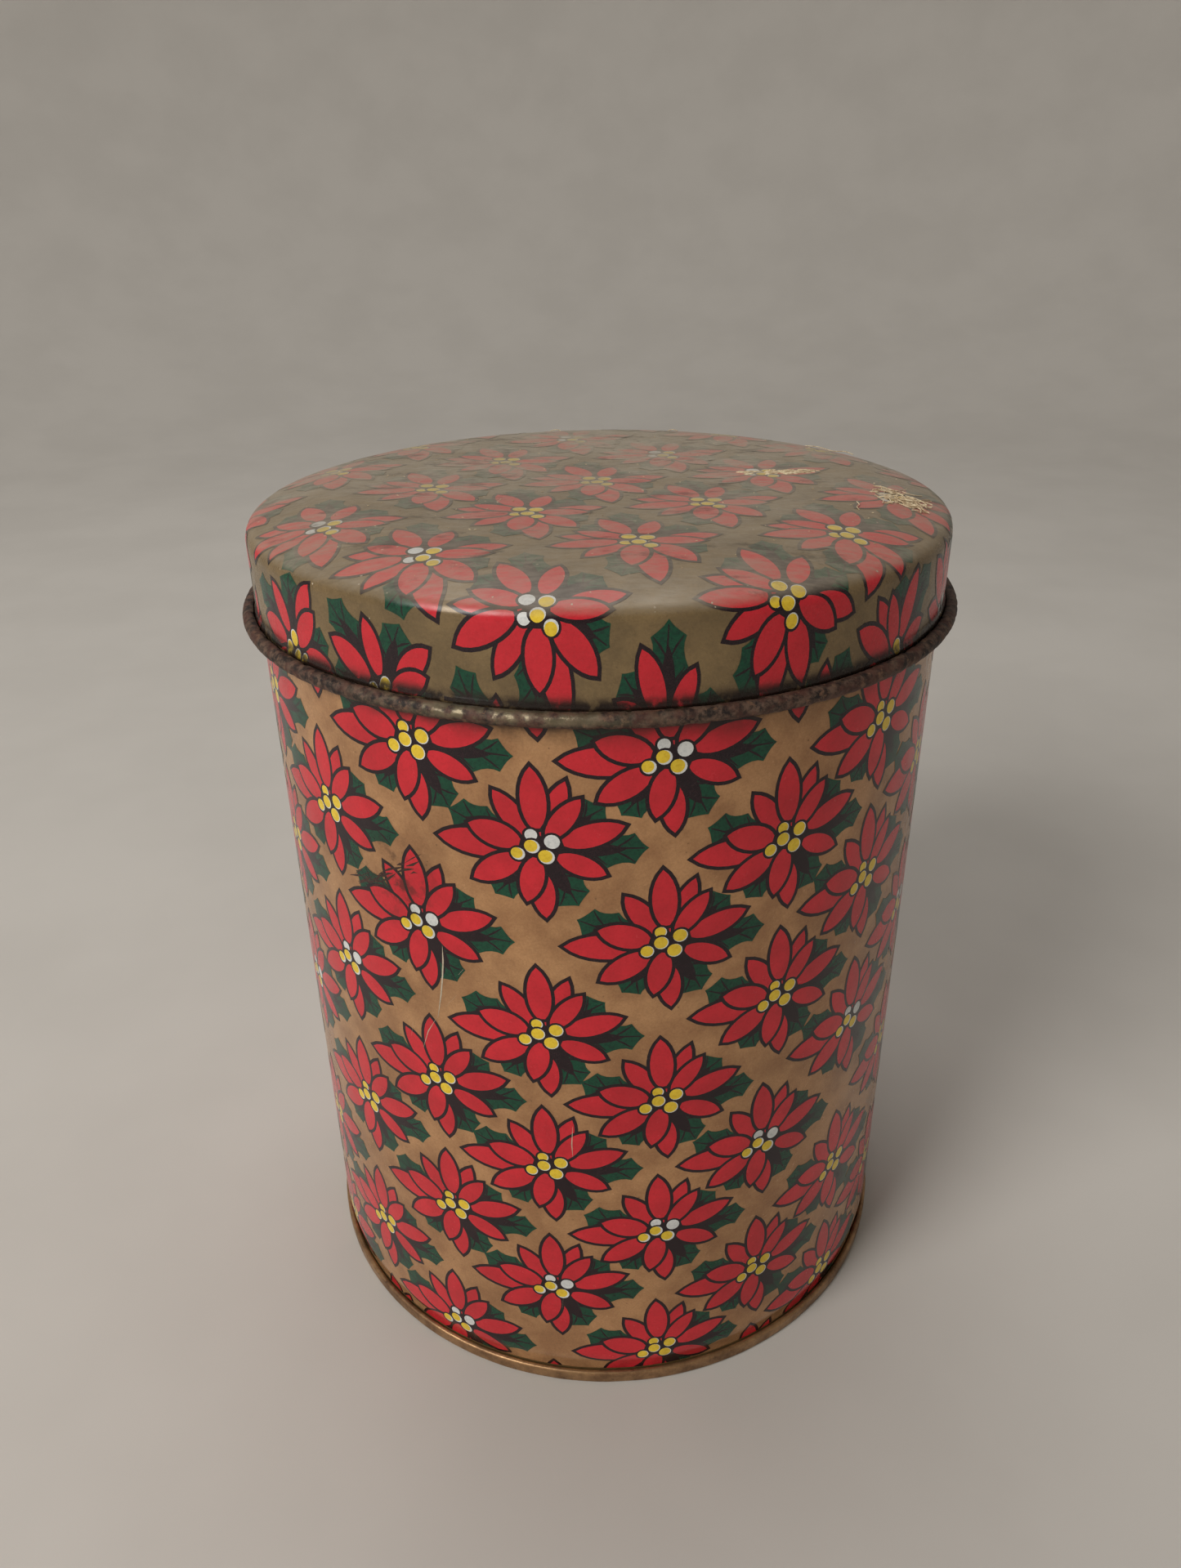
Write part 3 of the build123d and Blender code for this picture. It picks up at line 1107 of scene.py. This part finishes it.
def add_fibre(verts, faces, bends, radius):
    """A thin thread through a few points (mm)."""
    line = rounded_line(bends)
    first = len(verts)
    for i, point in enumerate(line):
        ahead = (line[min(i + 1, len(line) - 1)] - line[max(i - 1, 0)]).normalized()
        across = ahead.cross(Vector((0.2, 0.3, 1))).normalized()
        over = ahead.cross(across)
        for a in even_angles(FIBRE_SIDES):
            verts.append(tuple((point + (across * cos(a) + over * sin(a)) * radius) * MM))
    bridge_rings(faces, first, FIBRE_SIDES, len(line))
    cap_ends(faces, first, len(verts), FIBRE_SIDES)


# Lint caught on the lid's back edge: points on each thread.
LINT = (
    ((-8.4, 48.2, 130.0), (-8.0, 48.5, 130.3), (-7.0, 48.7, 130.5), (-6.2, 48.7, 130.3)),
    ((13.0, 47.0, 130.0), (13.6, 47.1, 130.3), (14.4, 47.0, 130.5), (15.2, 46.7, 130.3)),
    ((36.2, 33.0, 130.0), (38.0, 31.0, 130.2), (40.0, 28.4, 130.0), (41.6, 25.8, 130.4), (42.6, 24.2, 130.2)),
)


def add_crumb_patch(verts, faces, chance, x, y, wide, deep, count):
    for _ in range(count):
        px, py = chance.gauss(x, wide / 1.7), chance.gauss(y, deep / 1.7)
        if hypot(px, py) < PANEL_EDGE - 0.8:
            add_crumb(verts, faces, chance, px, py, chance.uniform(0.15, 0.62), chance.uniform(-0.4, 0.4),
                      chance.uniform(0.05, 0.2))


def add_torn_fibre(verts, faces, chance):
    """One fibre of the second patch, wandering over the lid from a random start."""
    x, y = chance.gauss(40.0, 2.2), chance.gauss(-11.0, 2.4)
    heading = chance.gauss(-0.6, 0.7)
    bends = []
    for _ in range(4):
        x, y = x + 1.1 * cos(heading), y + 1.1 * sin(heading)
        heading += chance.uniform(-0.7, 0.7)
        if hypot(x, y) < PANEL_EDGE - 0.5:
            bends.append((x, y, lid_top_height(x, y) + chance.uniform(0.05, 0.3)))
    if len(bends) > 2:
        add_fibre(verts, faces, bends, chance.uniform(0.05, 0.1))


def make_residue():
    """Crumbs and threads of old paper stuck to the lid in two patches, lint, and loose specks."""
    chance = random.Random(7)
    verts, faces = [], []
    for patch in CRUMB_PATCHES:
        add_crumb_patch(verts, faces, chance, *patch)
    for _ in range(34):
        add_torn_fibre(verts, faces, chance)
    for bends in LINT:
        add_fibre(verts, faces, bends, 0.07)
    for _ in range(150):
        angle, distance = chance.uniform(0, 2 * pi), 46.5 * sqrt(chance.random())
        add_crumb(verts, faces, chance, distance * sin(angle), distance * cos(angle),
                  chance.uniform(0.04, 0.13), chance.uniform(0, pi), chance.uniform(0.03, 0.07))
    mesh = bpy.data.meshes.new("lid_residue")
    mesh.from_pydata(verts, [], faces)
    add_piece("lid_residue", mesh, [residue_material()], "lid")


# ---- studio

# The studio, in metres
FLOOR_RADIUS = 0.7
SWEEP_RADIUS = 0.5
WALL_TOP = 1.1


def make_floor():
    """A round pale floor that sweeps up into a wall."""
    profile = [(0.0, 0.0), (0.3, 0.0), (FLOOR_RADIUS, 0.0)]
    for i in range(1, 13):
        a = radians(90 * i / 12)
        profile.append((FLOOR_RADIUS + SWEEP_RADIUS * sin(a), SWEEP_RADIUS * (1 - cos(a))))
    profile.append((FLOOR_RADIUS + SWEEP_RADIUS, WALL_TOP))
    verts, faces = [(0, 0, 0)], []
    count = 96
    for r, z in profile[1:]:
        verts += [(r * sin(a), -r * cos(a), z) for a in even_angles(count)]
    for j in range(count):
        k = (j + 1) % count
        faces.append((0, 1 + j, 1 + k))
        for ring in range(len(profile) - 2):
            a, b = 1 + ring * count, 1 + (ring + 1) * count
            faces.append((a + j, b + j, b + k, a + k))
    mesh = bpy.data.meshes.new("floor")
    mesh.from_pydata(verts, [], faces, shade_flat=False)
    mesh.materials.append(floor_material())
    linked_object("floor", mesh)


def make_lights():
    """One soft key light from the left of the front, an overhead light, and a little light all round."""
    add_light("key", (-0.66, -0.62, 0.78), 0.5, 8.2, (1.0, 0.97, 0.93))
    add_light("overhead", (-0.1, 0.35, 1.05), 0.8, 3.4, (1.0, 0.98, 0.95))
    world = bpy.data.worlds.new("studio")
    bpy.context.scene.world = world
    world.use_nodes = True
    background = world.node_tree.nodes["Background"]
    background.inputs["Color"].default_value = srgb(226, 222, 216)
    background.inputs["Strength"].default_value = 0.12


def add_light(name, place, size, power, colour):
    light = bpy.data.lights.new(name, "AREA")
    light.shape = "DISK"
    light.size = size
    light.energy = power
    light.color = colour
    lamp = linked_object(name, light)
    lamp.location = place
    aim = Vector((0, 0, TIN_HEIGHT * MM / 2)) - Vector(place)
    lamp.rotation_euler = aim.to_track_quat("-Z", "Y").to_euler()


# The camera, in millimetres and degrees
CAMERA_TARGET = Vector((0, 0, 65.0))
CAMERA_DISTANCE = 198.99
CAMERA_RAISED = 15.16
CAMERA_LEFT = 1.75
CAMERA_PITCH = 27.573
CAMERA_ROLL = -0.916


def make_camera():
    """Looks down at the front of the tin from a little above and to the left of the aimed point."""
    pitch = radians(CAMERA_PITCH)
    forward = Vector((0, cos(pitch), -sin(pitch)))
    up = Vector((0, sin(pitch), cos(pitch)))
    right = Vector((1, 0, 0))
    data = bpy.data.cameras.new("camera")
    data.sensor_width = 36.0
    data.lens = 26.376
    data.clip_start = 0.01
    camera = linked_object("camera", data)
    place = CAMERA_TARGET - forward * CAMERA_DISTANCE + up * CAMERA_RAISED - right * CAMERA_LEFT
    camera.location = place * MM
    facing = Matrix((right, up, -forward)).transposed()
    camera.rotation_euler = (facing @ Matrix.Rotation(radians(CAMERA_ROLL), 3, "Z")).to_euler()
    bpy.context.scene.camera = camera


make_lid_pieces()
make_wall_pieces()
make_base_piece()
make_residue()
make_floor()
make_lights()
make_camera()
bpy.context.scene.view_settings.view_transform = "Standard"
